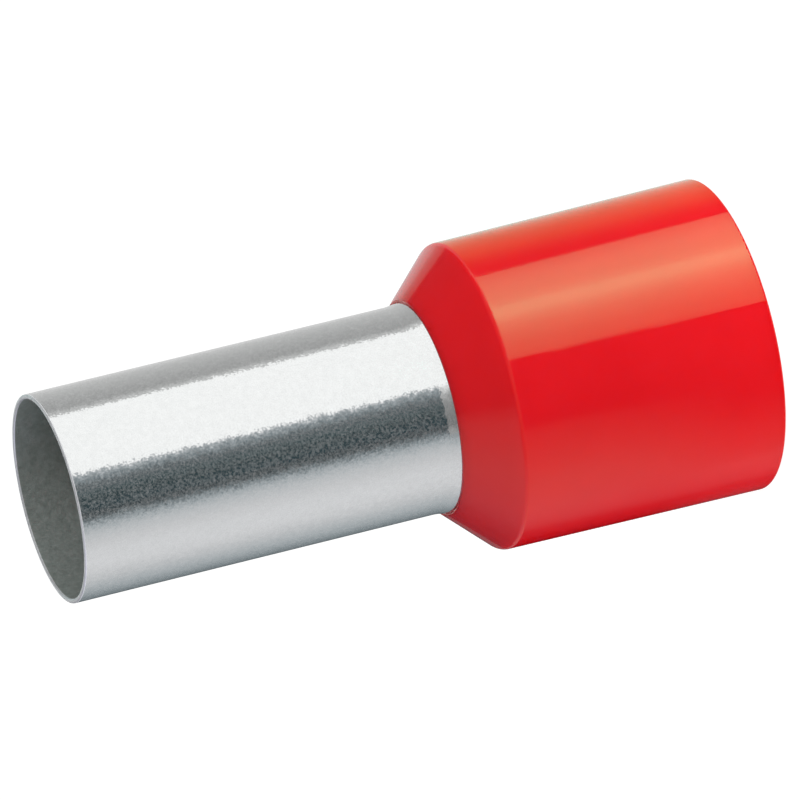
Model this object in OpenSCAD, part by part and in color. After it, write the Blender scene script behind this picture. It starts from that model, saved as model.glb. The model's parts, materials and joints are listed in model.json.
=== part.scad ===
// Insulated wire ferrule: a thin tinned copper sleeve held in a moulded plastic collar.
// Millimetres. Z runs along the ferrule, from the collar's open rim at z = 0 up to the sleeve's tip.

/* [Sleeve] */
// Inside diameter of the metal sleeve, where the bare strands go
sleeve_bore_d = 8.4; // [7:0.1:9]
// Wall of the metal sleeve
sleeve_wall = 0.2; // [0.15:0.05:0.3]
// Length of sleeve that stands out in front of the collar
contact_l = 16.45; // [12:0.05:20]
// Radius on the deburred edges at both ends of the sleeve
sleeve_edge_r = 0.07; // [0.02:0.01:0.07]
// How far the sleeve is swaged out, on the radius, where the collar grips it
swage_rise = 0.08; // [0.02:0.01:0.1]
// Length of the slope from the plain sleeve up to the swaged part
swage_l = 0.5; // [0.4:0.1:1.5]
// Length of swaged sleeve inside the collar's neck
grip_l = 1.4; // [1:0.1:2]
// Length of the flared mouth that locks the sleeve in the collar, along its slant
flare_l = 0.7; // [0.5:0.1:1]
// Radius of the bend where the sleeve turns out into its flared mouth
flare_bend_r = 0.25; // [0.1:0.05:0.4]

/* [Collar] */
// Length of the collar, from its open rim to its front lip
collar_l = 13.55; // [11:0.05:18]
// Inside diameter of the collar, where the wire's insulation goes
collar_bore_d = 12.4; // [11.6:0.2:14]
// Wall of the collar at its rim
collar_wall = 0.45; // [0.35:0.05:0.8]
// Draft of the collar's outside, on each side, in degrees
draft = 0.6; // [0:0.1:0.9]
// Length of the conical shoulder
shoulder_l = 2.05; // [1.6:0.05:3]
// Width of the flat lip round the sleeve
lip_w = 0.1; // [0.06:0.01:0.4]
// Slope of the funnel inside the collar and of the sleeve's flared mouth, from the axis, in degrees
funnel_slope = 45; // [35:1:50]
// Radius on the lip's edge
lip_r = 0.05; // [0.02:0.01:0.05]
// Radius between the shoulder and the bell
shoulder_r = 0.3; // [0.1:0.05:0.6]
// Radius between the funnel and the collar's bore
funnel_r = 0.5; // [0.1:0.1:1]
// Radius on the rim's two edges
rim_r = 0.12; // [0.05:0.01:0.15]

/* [Hidden] */

// Steps round a full turn, and round the arc of a corner
turn_steps = 180;
arc_steps = 8;

tip_z = collar_l + contact_l;
bore_r = sleeve_bore_d / 2;
grip_bore_r = bore_r + swage_rise;
neck_r = grip_bore_r + sleeve_wall;
bend_z = collar_l - grip_l;
rim_outer_r = collar_bore_d / 2 + collar_wall;
shoulder_z = collar_l - shoulder_l;
shoulder_outer_r = rim_outer_r - shoulder_z * tan(draft);

// The flared mouth: its inner and outer bend, then its inner and outer edge.
// The collar's seat is drawn from the same four points, so that the two pieces meet face to face.
mouth_bend_in = [grip_bore_r, bend_z];
mouth_bend_out = [neck_r, bend_z + sleeve_wall * tan(funnel_slope / 2)];
mouth_edge_in = mouth_bend_in + flare_l * [sin(funnel_slope), -cos(funnel_slope)];
mouth_edge_out = mouth_edge_in + sleeve_wall * [cos(funnel_slope), sin(funnel_slope)];

// Where the funnel, which runs on from the inside of the flared mouth, reaches the collar's bore
funnel_z = mouth_edge_in.y - (collar_bore_d / 2 - mouth_edge_in.x) / tan(funnel_slope);

// A corner of an outline is [radius from the axis, height, radius of the rounding]
function corner(point, rounding = 0) = [point.x, point.y, rounding];

function unit(v) = v / norm(v);

// The angle from a to b, the short way round, in degrees
function short_sweep(a, b) = (b - a + 540) % 360 - 180;

// The arc that rounds the corner at b, between its neighbours a and c
function corner_arc(a, b, c, r) =
    let (
        to_a = unit(a - b),
        to_c = unit(c - b),
        half = acos(to_a * to_c) / 2,
        centre = b + unit(to_a + to_c) * r / sin(half),
        start = b + to_a * r / tan(half) - centre,
        end = b + to_c * r / tan(half) - centre,
        first = atan2(start.y, start.x),
        sweep = short_sweep(first, atan2(end.y, end.x))
    )
    [for (i = [0:arc_steps])
        let (angle = first + sweep * i / arc_steps)
        centre + r * [cos(angle), sin(angle)]];

function flat_point(c) = [c.x, c.y];

// A closed outline with its corners rounded
function rounded(corners) =
    let (n = len(corners))
    [for (i = [0:n - 1])
        each corners[i].z > 0
            ? corner_arc(
                flat_point(corners[(i + n - 1) % n]),
                flat_point(corners[i]),
                flat_point(corners[(i + 1) % n]),
                corners[i].z)
            : [flat_point(corners[i])]];

module turned(corners) {
    rotate_extrude($fn = turn_steps) polygon(rounded(corners));
}

// Thin tube: plain in front, swaged a little wider in the collar's neck, and flared at its mouth
module metal_sleeve() {
    color([0.72, 0.73, 0.74])
    turned([
        corner([bore_r + sleeve_wall, tip_z], sleeve_edge_r),
        corner([bore_r, tip_z], sleeve_edge_r),
        corner([bore_r, collar_l + swage_l]),
        corner([grip_bore_r, collar_l]),
        corner(mouth_bend_in, flare_bend_r + sleeve_wall),
        corner(mouth_edge_in, sleeve_edge_r),
        corner(mouth_edge_out, sleeve_edge_r),
        corner(mouth_bend_out, flare_bend_r),
        corner([neck_r, collar_l]),
        corner([bore_r + sleeve_wall, collar_l + swage_l]),
    ]);
}

// Bell for the wire's insulation, with a conical shoulder, and inside it a funnel into the sleeve
module plastic_collar() {
    color([0.89, 0.11, 0.14])
    turned([
        corner([collar_bore_d / 2, 0], rim_r),
        corner([rim_outer_r, 0], rim_r),
        corner([shoulder_outer_r, shoulder_z], shoulder_r),
        corner([neck_r + lip_w, collar_l], lip_r),
        corner([neck_r, collar_l]),
        corner(mouth_bend_out, flare_bend_r),
        corner(mouth_edge_out),
        corner(mouth_edge_in),
        corner([collar_bore_d / 2, funnel_z], funnel_r),
    ]);
}

metal_sleeve();
plastic_collar();
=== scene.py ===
import json
import math

import bmesh
import bpy
from mathutils import Matrix, Vector

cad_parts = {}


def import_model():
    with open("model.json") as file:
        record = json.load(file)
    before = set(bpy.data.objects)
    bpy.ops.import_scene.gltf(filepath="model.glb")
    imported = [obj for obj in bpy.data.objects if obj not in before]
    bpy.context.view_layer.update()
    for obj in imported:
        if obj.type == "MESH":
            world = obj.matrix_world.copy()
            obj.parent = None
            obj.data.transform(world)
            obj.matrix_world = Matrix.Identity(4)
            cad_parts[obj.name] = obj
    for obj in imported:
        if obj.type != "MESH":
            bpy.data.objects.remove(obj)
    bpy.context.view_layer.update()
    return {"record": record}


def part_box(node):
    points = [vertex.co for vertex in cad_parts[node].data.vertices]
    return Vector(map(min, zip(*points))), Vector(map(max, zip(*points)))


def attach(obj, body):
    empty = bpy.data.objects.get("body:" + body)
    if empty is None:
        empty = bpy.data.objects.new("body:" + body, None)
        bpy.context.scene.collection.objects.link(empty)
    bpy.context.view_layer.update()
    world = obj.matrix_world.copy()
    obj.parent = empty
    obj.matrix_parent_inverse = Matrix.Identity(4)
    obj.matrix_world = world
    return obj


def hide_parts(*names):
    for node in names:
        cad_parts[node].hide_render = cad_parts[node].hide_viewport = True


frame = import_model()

MM = 0.001
MICRON = 0.001 * MM

# ---------------------------------------------------------------- sizes, in metres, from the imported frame
mounts = {m["name"]: m for m in frame["record"]["mounts"]}
BORE_R = mounts["conductor_bore"]["dims"]["r_mm"] * MM
TUBE_R = mounts["sleeve_outside"]["dims"]["r_mm"] * MM
BELL_BORE_R = mounts["insulation_bore"]["dims"]["r_mm"] * MM
TIP_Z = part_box("metal_sleeve")[1].z
COLLAR_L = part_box("plastic_collar")[1].z
RIM_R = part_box("plastic_collar")[1].x
WALL = TUBE_R - BORE_R

# The smaller sizes of the same two sections, as the solids have them
EDGE_R = 0.07 * MM
SWAGE_RISE = 0.08 * MM
SWAGE_L = 0.5 * MM
GRIP_L = 1.4 * MM
FLARE_L = 0.7 * MM
FLARE_BEND_R = 0.25 * MM
FUNNEL_SLOPE = math.radians(45)
DRAFT = math.radians(0.6)
SHOULDER_L = 2.05 * MM
LIP_W = 0.1 * MM
LIP_R = 0.05 * MM
SHOULDER_R = 0.3 * MM
FUNNEL_R = 0.5 * MM
RIM_EDGE_R = 0.12 * MM

# Soft bends that only the looks have: at the swaged step, at its foot and on the collar's inner front edge
SWAGE_BEND_R = 2 * MM
SWAGE_FOOT_R = 0.1 * MM
NECK_EDGE_R = 0.03 * MM

SWAGED_BORE_R = BORE_R + SWAGE_RISE
NECK_R = SWAGED_BORE_R + WALL
SWAGE_TOP_Z = COLLAR_L + SWAGE_L
BEND_Z = COLLAR_L - GRIP_L
SHOULDER_Z = COLLAR_L - SHOULDER_L
SHOULDER_OUTER_R = RIM_R - SHOULDER_Z * math.tan(DRAFT)

MOUTH_BEND_IN = Vector((SWAGED_BORE_R, BEND_Z))
MOUTH_BEND_OUT = Vector((NECK_R, BEND_Z + WALL * math.tan(FUNNEL_SLOPE / 2)))
MOUTH_EDGE_IN = MOUTH_BEND_IN + FLARE_L * Vector((math.sin(FUNNEL_SLOPE), -math.cos(FUNNEL_SLOPE)))
MOUTH_EDGE_OUT = MOUTH_EDGE_IN + WALL * Vector((math.cos(FUNNEL_SLOPE), math.sin(FUNNEL_SLOPE)))
FUNNEL_Z = MOUTH_EDGE_IN.y - (BELL_BORE_R - MOUTH_EDGE_IN.x) / math.tan(FUNNEL_SLOPE)

# ---------------------------------------------------------------- turned pieces
TURN_STEPS = 192
ARC_STEPS = 10
LONGEST_STEP = 0.5 * MM
# How far outside a rounding's ends its support points lie
SUPPORT = 0.02 * MM


def corner_arc(before, at, after, radius):
    """The arc that rounds the corner at `at`.

    A support point just outside each end keeps the shading of the flats beside it flat.
    """
    to_before, to_after = (before - at).normalized(), (after - at).normalized()
    half = to_before.angle(to_after) / 2
    centre = at + (to_before + to_after).normalized() * radius / math.sin(half)
    tangent = radius / math.tan(half)
    start, end = at + to_before * tangent, at + to_after * tangent
    first = math.atan2(start.y - centre.y, start.x - centre.x)
    last = math.atan2(end.y - centre.y, end.x - centre.x)
    sweep = (last - first + math.pi) % (2 * math.pi) - math.pi
    points = [start + to_before * SUPPORT]
    for i in range(ARC_STEPS + 1):
        angle = first + sweep * i / ARC_STEPS
        points.append(centre + radius * Vector((math.cos(angle), math.sin(angle))))
    points.append(end + to_after * SUPPORT)
    return points


def outline(corners):
    """A closed outline from (point, rounding) corners, with long flats split into short steps."""
    points = []
    for i, (at, radius) in enumerate(corners):
        before, after = corners[i - 1][0], corners[(i + 1) % len(corners)][0]
        points += corner_arc(before, at, after, radius) if radius else [at]
    closed = []
    for a, b in zip(points, points[1:] + points[:1]):
        steps = max(1, math.ceil((b - a).length / LONGEST_STEP))
        closed += [a.lerp(b, k / steps) for k in range(steps)]
    return closed


def new_object(name, data):
    """An object for a mesh, lamp or camera, put into the scene."""
    made = bpy.data.objects.new(name, data)
    bpy.context.collection.objects.link(made)
    return made


def turned(name, section, materials, material_of=lambda radius, height: 0):
    """A closed section of (radius, height) points turned about Z, as one smooth mesh."""
    bm = bmesh.new()
    rings = []
    for j in range(TURN_STEPS):
        a = 2 * math.pi * j / TURN_STEPS
        rings.append([bm.verts.new((p.x * math.cos(a), p.x * math.sin(a), p.y)) for p in section])
    for j, ring in enumerate(rings):
        following = rings[(j + 1) % TURN_STEPS]
        for i in range(len(section)):
            k = (i + 1) % len(section)
            face = bm.faces.new((ring[i], following[i], following[k], ring[k]))
            face.smooth = True
            middle = (section[i] + section[k]) / 2
            face.material_index = material_of(middle.x, middle.y)
    bmesh.ops.recalc_face_normals(bm, faces=bm.faces)
    mesh = bpy.data.meshes.new(name)
    bm.to_mesh(mesh)
    bm.free()
    for material in materials:
        mesh.materials.append(material)
    piece = new_object(name, mesh)
    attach(piece, "root")
    return piece


# ---------------------------------------------------------------- shader nodes
class NodeTree:
    """The nodes of a material or of the world, with the few kinds that this scene uses."""

    def __init__(self, owner):
        owner.use_nodes = True
        self.nodes = owner.node_tree.nodes
        self.links = owner.node_tree.links

    def add(self, kind, **settings):
        node = self.nodes.new("ShaderNode" + kind)
        for setting, value in settings.items():
            setattr(node, setting, value)
        return node

    def feed(self, socket, value):
        """Links a node's output to a socket, or sets the socket's own value."""
        if isinstance(value, bpy.types.NodeSocket):
            self.links.new(value, socket)
        else:
            socket.default_value = value

    def math(self, operation, *values):
        node = self.add("Math", operation=operation)
        for socket, value in zip(node.inputs, values):
            self.feed(socket, value)
        return node.outputs["Value"]

    def vector_math(self, operation, *vectors, output="Vector"):
        node = self.add("VectorMath", operation=operation)
        for socket, vector in zip(node.inputs, vectors):
            self.feed(socket, vector)
        return node.outputs[output]

    def noise(self, size, detail, roughness=0.5, output="Fac"):
        """Noise whose blotches are about `size` metres across, in the object's own coordinates."""
        node = self.add("TexNoise")
        self.feed(node.inputs["Vector"], self.add("TexCoord").outputs["Object"])
        self.feed(node.inputs["Scale"], 1 / size)
        self.feed(node.inputs["Detail"], detail)
        self.feed(node.inputs["Roughness"], roughness)
        return node.outputs[output]

    def spread(self, value, low, high, start=0.3, end=0.7):
        """Maps a value from the range start..end, where most of a noise lies, to the range low..high."""
        node = self.add("MapRange")
        self.feed(node.inputs["Value"], value)
        self.feed(node.inputs["From Min"], start)
        self.feed(node.inputs["From Max"], end)
        self.feed(node.inputs["To Min"], low)
        self.feed(node.inputs["To Max"], high)
        return node.outputs["Result"]

    def tinted(self, value, dark, light):
        """A colour between dark and light."""
        node = self.add("Mix", data_type="RGBA")
        self.feed(node.inputs["Factor"], value)
        self.feed(node.inputs["A"], (*dark, 1))
        self.feed(node.inputs["B"], (*light, 1))
        return node.outputs["Result"]

    def bump(self, height, depth, below=None):
        """A bump `depth` metres deep, on top of another normal."""
        node = self.add("Bump")
        self.feed(node.inputs["Height"], height)
        self.feed(node.inputs["Distance"], depth)
        self.feed(node.inputs["Strength"], 1.0)
        if below is not None:
            self.feed(node.inputs["Normal"], below)
        return node.outputs["Normal"]

    def facets(self, size, lean, below):
        """A normal that leans at random from one crystal of about `size` metres to the next."""
        colours = self.noise(size, detail=1.0, output="Color")
        either_way = self.vector_math("SUBTRACT", colours, (0.5, 0.5, 0.5))
        leaning = self.vector_math("MULTIPLY", either_way, (lean, lean, lean))
        return self.vector_math("NORMALIZE", self.vector_math("ADD", leaning, below))

    def seen_rays(self):
        """1 for camera, glossy and transmission rays, else 0."""
        path = self.add("LightPath")
        reflected = self.math("MAXIMUM", path.outputs["Is Glossy Ray"], path.outputs["Is Transmission Ray"])
        return self.math("MAXIMUM", path.outputs["Is Camera Ray"], reflected)


# ---------------------------------------------------------------- materials
def tin_material(name, colours, roughness, frost):
    """Tin plating: bright metal with a fine grain in relief and frosted crystals, which scatter light.

    colours, roughness and frost, the share of light scattered, are each (lowest, highest).
    """
    material = bpy.data.materials.new(name)
    tree = NodeTree(material)
    shader = tree.nodes["Principled BSDF"]
    cloud = tree.spread(tree.noise(0.25 * MM, detail=3.0), 0, 1)
    tree.feed(shader.inputs["Base Color"], tree.tinted(cloud, *colours))
    frosted = tree.noise(0.10 * MM, detail=3.0, roughness=0.6)
    metallic = tree.spread(frosted, 1 - frost[0], 1 - frost[1], start=0.38, end=0.67)
    tree.feed(shader.inputs["Metallic"], metallic)
    tree.feed(shader.inputs["Roughness"], tree.spread(tree.noise(0.5 * MM, detail=3.0), *roughness))
    waves = tree.bump(tree.noise(3 * MM, detail=1.0), depth=2 * MICRON)
    grain = tree.bump(tree.noise(0.08 * MM, detail=1.0), depth=1 * MICRON, below=waves)
    patches = tree.facets(0.25 * MM, lean=0.06, below=grain)
    crystals = tree.facets(0.09 * MM, lean=0.11, below=patches)
    tree.feed(shader.inputs["Normal"], crystals)
    return material


def plastic_material():
    """Glossy moulded polypropylene: faint sink waves, a trace of orange peel and slightly uneven gloss."""
    material = bpy.data.materials.new("red_plastic")
    tree = NodeTree(material)
    shader = tree.nodes["Principled BSDF"]
    shader.inputs["IOR"].default_value = 1.49
    shader.inputs["Specular Tint"].default_value = (0.85, 1.0, 0.65, 1)
    shader.inputs["Subsurface Weight"].default_value = 1.0
    shader.inputs["Subsurface Radius"].default_value = (1.0, 0.3, 0.2)
    shader.inputs["Subsurface Scale"].default_value = 0.8 * MM
    cloud = tree.spread(tree.noise(3 * MM, detail=3.0), 0, 1)
    red = tree.tinted(cloud, (0.745, 0.0110, 0.0190), (0.775, 0.0126, 0.0218))
    tree.feed(shader.inputs["Base Color"], red)
    tree.feed(shader.inputs["Roughness"], tree.spread(tree.noise(0.6 * MM, detail=3.0), 0.07, 0.11))
    waves = tree.bump(tree.noise(4 * MM, detail=1.0), depth=25 * MICRON)
    peel = tree.bump(tree.noise(0.3 * MM, detail=2.0), depth=0.4 * MICRON, below=waves)
    tree.feed(shader.inputs["Normal"], peel)
    return material


# ---------------------------------------------------------------- the two pieces
def metal_sleeve():
    """The tinned tube: swaged a little wider where the collar grips it, and flared at its mouth."""
    finishes = [
        tin_material("tin", ((0.712, 0.725, 0.721), (0.754, 0.767, 0.763)), (0.06, 0.10), (0.01, 0.20)),
        # The inside is the same tin given a darker, greener colour: painted shade for the dark bore
        tin_material("tin_inside_painted_shade", ((0.37, 0.418, 0.392), (0.475, 0.523, 0.497)), (0.40, 0.55), (0.35, 0.55)),
        # The tip's rounded edge is matte tin in a paler, bluer colour, so that it shows as a soft light line:
        # painted highlight
        tin_material("tin_painted_edge_highlight", ((0.83, 0.84, 0.86), (0.89, 0.90, 0.92)), (0.35, 0.50), (0.40, 0.60)),
    ]
    outside, inside, painted_edge_highlight = range(3)
    middle_r = BORE_R + WALL / 2

    def finish_of(radius, height):
        # The tip's edge gets the paler painted highlight, the inside the darker painted shade, the outside
        # the plain tin
        if height > TIP_Z - EDGE_R:
            return painted_edge_highlight
        return inside if radius < middle_r else outside

    section = outline([
        (Vector((TUBE_R, TIP_Z)), EDGE_R),
        (Vector((BORE_R, TIP_Z)), EDGE_R),
        (Vector((BORE_R, SWAGE_TOP_Z)), SWAGE_BEND_R),
        (Vector((SWAGED_BORE_R, COLLAR_L)), SWAGE_BEND_R),
        (MOUTH_BEND_IN, FLARE_BEND_R + WALL),
        (MOUTH_EDGE_IN, EDGE_R),
        (MOUTH_EDGE_OUT, EDGE_R),
        (MOUTH_BEND_OUT, FLARE_BEND_R),
        (Vector((NECK_R, COLLAR_L)), SWAGE_FOOT_R),
        (Vector((TUBE_R, SWAGE_TOP_Z)), SWAGE_BEND_R),
    ])
    piece = turned("ferrule_sleeve", section, finishes, finish_of)
    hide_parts("metal_sleeve")


def plastic_collar():
    """The moulded bell with its shoulder and lip outside, and the funnel and the sleeve's seat inside."""
    section = outline([
        (Vector((BELL_BORE_R, 0)), RIM_EDGE_R),
        (Vector((RIM_R, 0)), RIM_EDGE_R),
        (Vector((SHOULDER_OUTER_R, SHOULDER_Z)), SHOULDER_R),
        (Vector((NECK_R + LIP_W, COLLAR_L)), LIP_R),
        (Vector((NECK_R, COLLAR_L)), NECK_EDGE_R),
        (MOUTH_BEND_OUT, FLARE_BEND_R),
        (MOUTH_EDGE_OUT, 0),
        (MOUTH_EDGE_IN, 0),
        (Vector((BELL_BORE_R, FUNNEL_Z)), FUNNEL_R),
    ])
    piece = turned("ferrule_collar", section, [plastic_material()])
    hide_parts("plastic_collar")


# ---------------------------------------------------------------- camera
VIEW_ELEVATION = math.radians(16.6)
VIEW_ROLL = math.radians(-103.7)
VIEW_DISTANCE = 450 * MM
LENS = 490
PART_LEFT_OF_CENTRE = 0.43 * MM
PART_BELOW_CENTRE = 0.657 * MM


def camera():
    """Looks at the standing part from a little above, rolled so that its tip is at the lower left."""
    forward = Vector((0, math.cos(VIEW_ELEVATION), -math.sin(VIEW_ELEVATION)))
    level_up = Vector((0, math.sin(VIEW_ELEVATION), math.cos(VIEW_ELEVATION)))
    level_right = Vector((1, 0, 0))
    right = math.cos(VIEW_ROLL) * level_right + math.sin(VIEW_ROLL) * level_up
    up = -math.sin(VIEW_ROLL) * level_right + math.cos(VIEW_ROLL) * level_up
    middle = Vector((0, 0, TIP_Z / 2))
    place = middle - VIEW_DISTANCE * forward + PART_LEFT_OF_CENTRE * right + PART_BELOW_CENTRE * up
    data = bpy.data.cameras.new("camera")
    data.lens = LENS
    data.clip_start = 0.01
    data.clip_end = 10
    made = new_object("camera", data)
    made.matrix_world = Matrix.Translation(place) @ Matrix((right, up, -forward)).transposed().to_4x4()
    bpy.context.scene.camera = made


# ---------------------------------------------------------------- floor
FLOOR_HALF = 3.0
# The paper's colour where it lights the part, and where the eye or a reflection sees it
LIT_PAPER = 0.5
SEEN_PAPER = 0.22
SEEN_GLOW = 0.96
# The light that the floor throws up: strongest near the part, and halved in a thin ring under its rim
NEAR_GLOW, FAR_GLOW = 1.10, 0.82
NEAR_END, FAR_START = RIM_R + 2 * MM, RIM_R + 10 * MM
RIM_RING_GLOW = 0.5
RIM_RING_R = RIM_R + 0.1 * MM
RIM_RING_HALF_W = 0.3 * MM


def floor_light(tree):
    """The strength of the light that the floor throws up, by the distance from the part's axis."""
    place = tree.add("TexCoord").outputs["Object"]
    distance = tree.vector_math("LENGTH", place, output="Value")
    in_ring = tree.math("COMPARE", distance, RIM_RING_R, RIM_RING_HALF_W)
    ring = tree.spread(in_ring, 1.0, RIM_RING_GLOW, start=0.0, end=1.0)
    return tree.math("MULTIPLY", ring, tree.spread(distance, NEAR_GLOW, FAR_GLOW, NEAR_END, FAR_START))


def glowing_paper(tree, level, glow):
    """A grey paper of this level that also gives off white light."""
    paper = tree.add("BsdfDiffuse")
    tree.feed(paper.inputs["Color"], (level, level, level, 1))
    light = tree.add("Emission")
    tree.feed(light.inputs["Strength"], glow)
    both = tree.add("AddShader")
    tree.feed(both.inputs[0], paper.outputs[0])
    tree.feed(both.inputs[1], light.outputs[0])
    return both.outputs[0]


def floor():
    """A white sheet that looks white from above and keeps a light shadow."""
    material = bpy.data.materials.new("white_sheet")
    tree = NodeTree(material)
    tree.nodes.clear()
    either = tree.add("MixShader")
    tree.feed(either.inputs["Fac"], tree.seen_rays())
    tree.feed(either.inputs[1], glowing_paper(tree, LIT_PAPER, floor_light(tree)))
    tree.feed(either.inputs[2], glowing_paper(tree, SEEN_PAPER, SEEN_GLOW))
    tree.feed(tree.add("OutputMaterial").inputs["Surface"], either.outputs[0])
    mesh = bpy.data.meshes.new("floor")
    corners = [(x * FLOOR_HALF, y * FLOOR_HALF, 0) for x, y in ((-1, -1), (1, -1), (1, 1), (-1, 1))]
    mesh.from_pydata(corners, [], [(0, 1, 2, 3)])
    mesh.materials.append(material)
    new_object("floor", mesh)


# ---------------------------------------------------------------- cards that only reflections show
def heading(degrees):
    """The level direction that is `degrees` round from the camera's side, away from the key light."""
    a = math.radians(degrees)
    return Vector((-math.sin(a), -math.cos(a), 0))


def grey(level):
    return Vector((level, level, level))


def cool(level):
    """A grey that is bluer the darker it is: least blue from 0.72 up, and bluest from 0.22 down."""
    blue = min(1, max(0, (0.72 - level) / 0.5))
    return level * Vector((1 - 0.16 * blue, 1, 1.025 + 0.055 * blue))


def ramp(stops, at):
    """Straight-line value between (place, value) stops."""
    for (a, va), (b, vb) in zip(stops, stops[1:]):
        if at <= b:
            return va + (vb - va) * (at - a) / (b - a)
    return stops[-1][1]


# Left and right are as seen from the part. The softbox is given by the headings of its left and right side,
# and for the bell its right side slants by a few degrees
SOFTBOX = (-94, -18.5)
SOFTBOX_SLANT = 2.5
SOFTBOX_LIGHT = grey(1.2)

# What the sleeve shows, as (heading, light) stops: a grey room to the softbox's left, and to its right
# a dark gap in front and a white table that falls off again
TUBE_ROOM = [
    (-180, grey(0.20)), (-172, grey(0.72)), (-162, grey(0.69)), (-150, grey(0.60)), (-135, grey(0.53)),
    (-115, grey(0.43)), (-104, grey(0.39)), (-95.5, grey(0.66)),
]
TUBE_TABLE = [
    (-18.5, cool(0.75)), (-15, cool(0.42)), (-10, cool(0.24)), (-4, cool(0.125)),
    (4, Vector((0.050, 0.080, 0.088))),
    (10, Vector((0.036, 0.058, 0.064))),
    (20, Vector((0.030, 0.055, 0.065))),
    (27, cool(0.07)), (32, cool(0.17)), (36, cool(0.33)), (40, cool(0.48)), (48, cool(0.63)),
    (60, cool(0.73)), (72, cool(0.81)), (84, cool(0.83)), (96, cool(0.79)), (110, cool(0.675)),
    (122, cool(0.56)), (134, cool(0.455)), (150, cool(0.29)), (162, cool(0.20)), (175, cool(0.10)),
    (180, cool(0.05)),
]

# The same for the collar's bell, whose plastic mirrors far less light, so that its cards are brighter
BELL_ROOM = [
    (-180, Vector((0.4, 0.6, 0.55))), (-170, Vector((0.6, 0.97, 0.85))), (-140, Vector((0.40, 0.72, 0.40))),
    (-120, Vector((0.35, 0.54, 0.22))), (-104, Vector((0.08, 0.14, 0.07))), (-95, grey(0.06)),
]
BELL_SOFTBOX = [
    (-94, 1.6), (-80, 3.1), (-70, 3.75), (-63, 4.6), (-58, 6.1), (-53, 5.8), (-47, 4.3), (-40, 3.2),
    (-30, 2.3), (-18.5, 1.6),
]
BELL_SOFTBOX_TINT = Vector((0.22, 1.0, 0.76))
# Its table, as (run, stops): the light starts nearer to the front higher up the bell
BELL_TABLE = [
    (1.5 * MM, [(45, 0), (50, 0.02), (80, 0.29), (108, 0.50), (120, 0.32), (138, 0.05), (180, 0.05)]),
    (4.6 * MM, [(34, 0), (38, 0.10), (50, 0.28), (80, 0.64), (95, 0.64), (110, 0.46), (138, 0.02), (150, 0)]),
    (7.6 * MM, [(30, 0), (36, 0.24), (40, 0.33), (80, 0.83), (105, 0.68), (135, 0.05), (150, 0)]),
]
BELL_TABLE_TINT = Vector((1.0, 1.0, 1.1))

# What tilted surfaces show, by heading and by rise above the level, in degrees. A low ring shows about what
# the sleeve does. Above it are a white wall to the right that falls off towards the back, low white far
# behind, and nearly dark overhead
RING_TOP = 9
RING_LIGHT = [
    (-150, 0.62), (-120, 0.60), (-104, 0.68), (-95.5, 0.95), (-94, 1.2), (-20, 1.2), (-18.5, 1.1),
    (-13, 0.72), (-10, 0.52), (0, 0.30), (12, 0.23), (22, 0.20), (30, 0.33), (35, 0.42),
]
RING_BACK_FROM = 147
RING_BACK = Vector((0.68, 0.78, 0.77))
WALL_LIGHT = [
    (40, 0.52), (65, 0.55), (76, 0.63), (94, 0.72), (110, 0.61), (123, 0.46), (136, 0.20), (147, 0.08),
    (158, 0.05), (180, 0.03),
]
WALL_TINT = Vector((1.0, 1.0, 1.3))
# It stands between two headings, leans over at every heading above a rise, and fades towards the part's left,
# as (x of the direction, share of its light) stops
WALL_SIDES = (60, 165)
WALL_OVER = 57
WALL_EDGE = [(-0.45, 1), (-0.30, 0.85), (-0.13, 0)]
# A bright strip right behind the part, from one rise to another
BACK_STRIP_FROM = 165
BACK_STRIP = (19.6, 30)
BEHIND_LIGHT = [(0, 0.9), (5, 0.8), (14, 0.48), (19, 0.42), (90, 0.3)]
BEHIND_TINT = Vector((0.6, 1.0, 0.95))
BEHIND_FROM_Y = 0.75
FRONT_SIDES = 75
FRONT_LIGHT = [(0, 0.3), (40, 0.3), (52, 0.08), (90, 0.08)]
OVERHEAD = grey(0.08)
RIM_CARD_LIGHT = grey(0.05)

# How high the cards start above the floor, and the runs at which each fan ends
CARD_HEIGHT = 0.02 * MM
RIM_CARD_END = 0.05 * MM
BELL_CARD_END = 9.2 * MM
TENT_RADIUS = 300 * MM
FAN_COLUMNS, FAN_ROWS = 361, 24
TENT_COLUMNS, TENT_ROWS = 181, 91
FIN_REACH = 8 * MM
FIN_FALL = 0.33


def rim_glow(turn, run):
    return RIM_CARD_LIGHT


def tube_glow(turn, run):
    if turn < SOFTBOX[0]:
        return ramp(TUBE_ROOM, turn)
    return SOFTBOX_LIGHT if turn < SOFTBOX[1] else ramp(TUBE_TABLE, turn)


def bell_glow(turn, run):
    if turn < SOFTBOX[0]:
        return ramp(BELL_ROOM, turn)
    if turn < SOFTBOX[1] + SOFTBOX_SLANT * (1 - run / BELL_CARD_END):
        return BELL_SOFTBOX_TINT * ramp(BELL_SOFTBOX, turn)
    levels = [(place, ramp([(-180, 0)] + stops, turn)) for place, stops in BELL_TABLE]
    return BELL_TABLE_TINT * ramp([(0, levels[0][1])] + levels, run)


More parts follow.
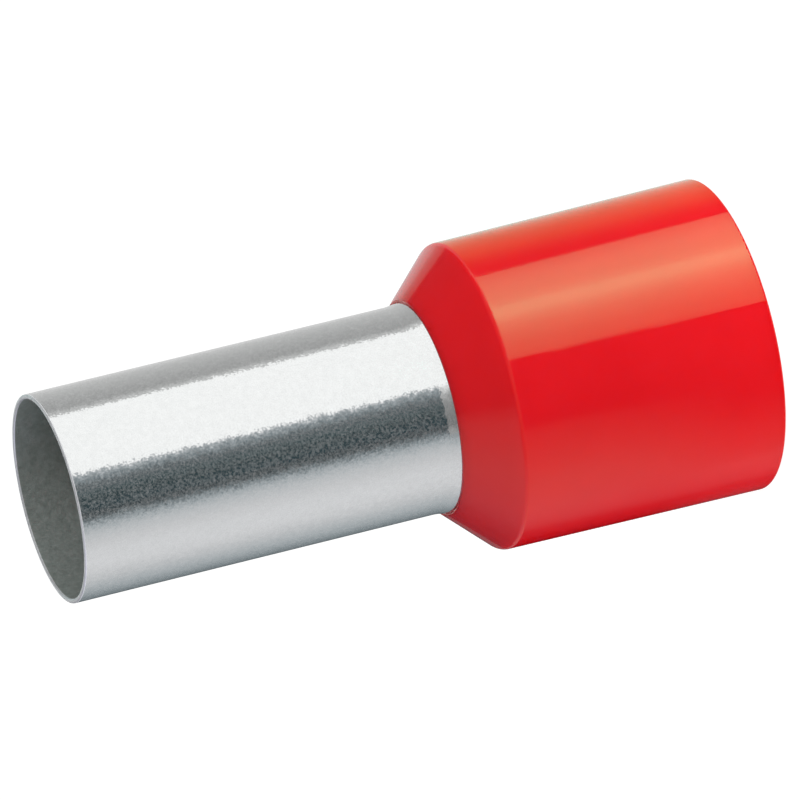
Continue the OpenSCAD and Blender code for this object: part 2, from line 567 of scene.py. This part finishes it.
def tent_glow(turn, rise, direction):
    if rise < RING_TOP and abs(turn) < RING_BACK_FROM:
        return grey(ramp(RING_LIGHT, turn)) if turn < RING_LIGHT[-1][0] else tube_glow(turn, 0)
    if rise < RING_TOP and direction.x > 0:
        return RING_BACK
    if direction.x < WALL_EDGE[-1][0] and (WALL_SIDES[0] < turn < WALL_SIDES[1] or rise > WALL_OVER):
        edge = ramp(WALL_EDGE, max(direction.x, WALL_EDGE[0][0]))
        return OVERHEAD.lerp(WALL_TINT * ramp(WALL_LIGHT, max(turn, WALL_LIGHT[0][0])), edge)
    if abs(turn) > BACK_STRIP_FROM and BACK_STRIP[0] < rise < BACK_STRIP[1]:
        return SOFTBOX_LIGHT
    if direction.x > 0 and direction.y > BEHIND_FROM_Y:
        return BEHIND_TINT * ramp(BEHIND_LIGHT, rise)
    if abs(turn) < FRONT_SIDES:
        return grey(ramp(FRONT_LIGHT, rise))
    return OVERHEAD


def card_material():
    """Gives off the light that is stored at the card's points."""
    material = bpy.data.materials.new("card")
    tree = NodeTree(material)
    tree.nodes.clear()
    light = tree.add("Emission")
    tree.feed(light.inputs["Color"], tree.add("Attribute", attribute_name="glow").outputs["Color"])
    tree.feed(tree.add("OutputMaterial").inputs["Surface"], light.outputs[0])
    return material


def card(name, points, rows, columns, glows, material):
    """A grid of points as a card that only reflections show, with a light colour at each point."""
    faces = []
    for i in range(rows - 1):
        for j in range(columns - 1):
            a = i * columns + j
            faces.append((a, a + 1, a + columns + 1, a + columns))
    mesh = bpy.data.meshes.new(name)
    mesh.from_pydata(points, [], faces)
    attribute = mesh.attributes.new("glow", "FLOAT_COLOR", "POINT")
    for i, (red, green, blue) in enumerate(glows):
        attribute.data[i].color = (red, green, blue, 1)
    mesh.materials.append(material)
    made = new_object(name, mesh)
    made.visible_camera = False
    made.visible_diffuse = False
    made.visible_transmission = False
    made.visible_shadow = False


def fan(name, radius, near, far, lean, glow, material):
    """A card round the part, laid out along the rays that an upright round surface mirrors.

    It starts just above the floor and rises by `lean` metres for each metre out.
    glow(turn, run) gives its light at a mirrored ray's heading and its run out from the surface.
    """
    points, glows = [], []
    for i in range(FAN_ROWS):
        run = near + (far - near) * i / (FAN_ROWS - 1)
        for j in range(FAN_COLUMNS):
            turn = -180 + 360 * j / (FAN_COLUMNS - 1)
            foot = heading(turn / 2) * radius + heading(turn) * run
            points.append(foot + Vector((0, 0, CARD_HEIGHT + lean * run)))
            glows.append(glow(turn, run))
    card(name, points, FAN_ROWS, FAN_COLUMNS, glows, material)


def fin(name, turn, material):
    """A dark upright card along one ray of the bell's fan.

    The camera's own view meets it edge on. In other views it hides the softbox from the bell's silhouettes.
    """
    points = []
    for run in (RIM_CARD_END, FIN_REACH):
        foot = heading(turn / 2) * RIM_R + heading(turn) * run
        points += [foot + Vector((0, 0, run)), foot + Vector((0, 0, SHOULDER_Z - FIN_FALL * run))]
    card(name, points, 2, 2, [RIM_CARD_LIGHT] * len(points), material)


def tent(material):
    """A half dome far round the part, which the tilted surfaces show."""
    points, glows = [], []
    for i in range(TENT_ROWS):
        rise = 90 * i / (TENT_ROWS - 1)
        angle = math.radians(rise)
        for j in range(TENT_COLUMNS):
            turn = -180 + 360 * j / (TENT_COLUMNS - 1)
            direction = heading(turn) * math.cos(angle) + Vector((0, 0, math.sin(angle)))
            points.append(direction * TENT_RADIUS)
            glows.append(tent_glow(turn, rise, direction))
    card("tent", points, TENT_ROWS, TENT_COLUMNS, glows, material)


def cards():
    material = card_material()
    fan("rim_card", RIM_R, 0, RIM_CARD_END, 1, rim_glow, material)
    fan("bell_card", RIM_R, RIM_CARD_END, BELL_CARD_END, 1, bell_glow, material)
    fan("tube_card", TUBE_R, BELL_CARD_END, TENT_RADIUS, 0, tube_glow, material)
    fin("left_fin", SOFTBOX[0], material)
    fin("right_fin", SOFTBOX[1], material)
    tent(material)


# ---------------------------------------------------------------- lamps and sky
LAMP_OUT = 0.5
KEY_UP = 0.35
RIM_LAMP_OUT = 12 * MM
RIM_LAMP_UP = 1 * MM
SKY_LOW = 0.6
SKY_HIGH = 0.12


def area_light(name, place, aim, size, energy):
    """A square lamp at `place` that points at `aim` and that no reflection shows."""
    data = bpy.data.lights.new(name, "AREA")
    data.shape = "SQUARE"
    data.size = size
    data.energy = energy
    made = new_object(name, data)
    made.location = place
    made.rotation_mode = "QUATERNION"
    made.rotation_quaternion = (aim - place).to_track_quat("-Z", "Y")
    made.visible_glossy = False
    made.visible_camera = False


def lights():
    middle = Vector((0, 0, TIP_Z / 2))
    above = Vector((0, 0, KEY_UP))
    area_light("key", middle + heading(-45) * LAMP_OUT + above, middle, size=0.4, energy=1.80)
    area_light("fill", middle + heading(108) * LAMP_OUT, middle, size=0.3, energy=0.75)
    low = Vector((0, 0, RIM_LAMP_UP))
    area_light("rim", heading(125) * (RIM_R + RIM_LAMP_OUT) + low, low, size=8 * MM, energy=0.0005)


def world():
    """White to the eye and in reflections; as a light, brighter round the horizon than overhead."""
    made = bpy.data.worlds.new("studio")
    tree = NodeTree(made)
    background = tree.nodes["Background"]
    background.inputs["Color"].default_value = (1, 1, 1, 1)
    split = tree.add("SeparateXYZ")
    tree.feed(split.inputs["Vector"], tree.add("TexCoord").outputs["Generated"])
    strength = tree.add("Mix", data_type="FLOAT")
    tree.feed(strength.inputs["Factor"], tree.seen_rays())
    tree.feed(strength.inputs["A"], tree.spread(split.outputs["Z"], SKY_LOW, SKY_HIGH, start=0.0, end=1.0))
    tree.feed(strength.inputs["B"], 1.0)
    tree.feed(background.inputs["Strength"], strength.outputs["Result"])
    bpy.context.scene.world = made


camera()
metal_sleeve()
plastic_collar()
floor()
cards()
lights()
world()
bpy.context.scene.view_settings.view_transform = "Standard"
